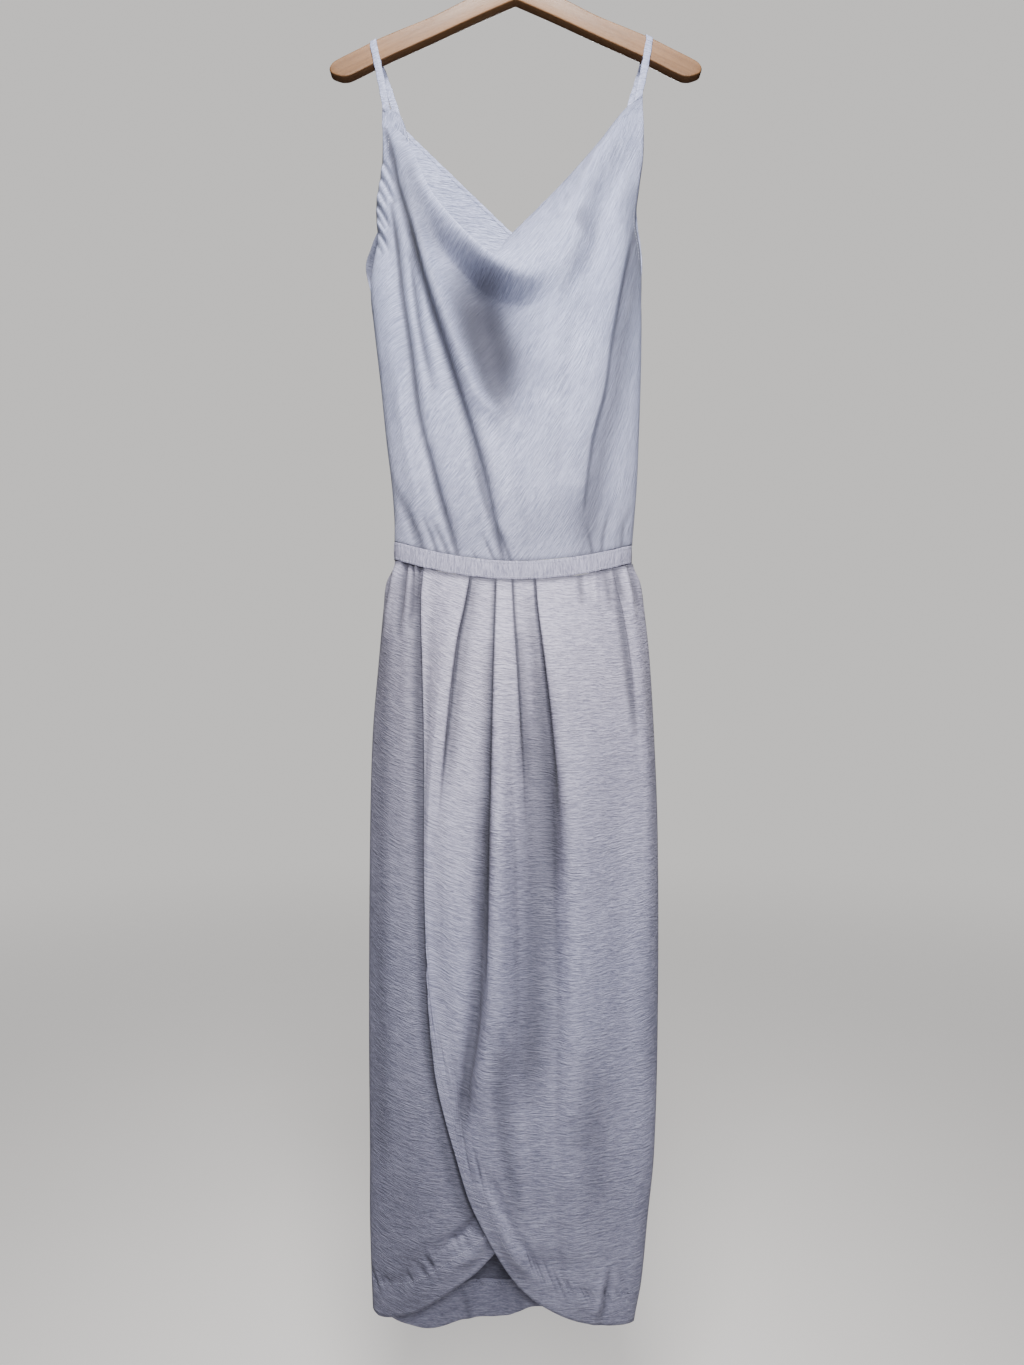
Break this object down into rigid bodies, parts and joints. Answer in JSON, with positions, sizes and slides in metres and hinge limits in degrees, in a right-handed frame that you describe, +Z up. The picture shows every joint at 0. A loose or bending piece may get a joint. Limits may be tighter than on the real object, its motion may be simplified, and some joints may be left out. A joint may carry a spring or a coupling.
{
  "type": "tulip dress on a wooden hanger",
  "caption": "Long sleeveless cowl-neck dress with narrow straps, a waistband and a pleated wrap tulip skirt, hanging on a flat wooden hanger with a wire hook.",
  "frame": {"origin": "inside top of the hanger's hook, where a rail carries it", "axes": "+Z up, the front faces -Y, +X to the right as seen from the front"},
  "size_m": [0.407, 0.121, 1.5505],
  "materials": {
    "crepe": "pale blue-grey satin-backed crepe with a fine slub, soft sheen",
    "hanger_wood": "clear satin lacquer on beech",
    "hook_wire": "bright plated steel wire"
  },
  "bodies": {
    "root": {"bodice_front": "crepe", "bodice_back": "crepe", "waistband_front": "crepe", "waistband_back": "crepe", "skirt_over_panel": "crepe", "skirt_under_panel": "crepe", "skirt_back": "crepe", "strap_left": "crepe", "strap_right": "crepe", "hanger": "hanger_wood", "hook": "hook_wire"}
  },
  "joints": []
}
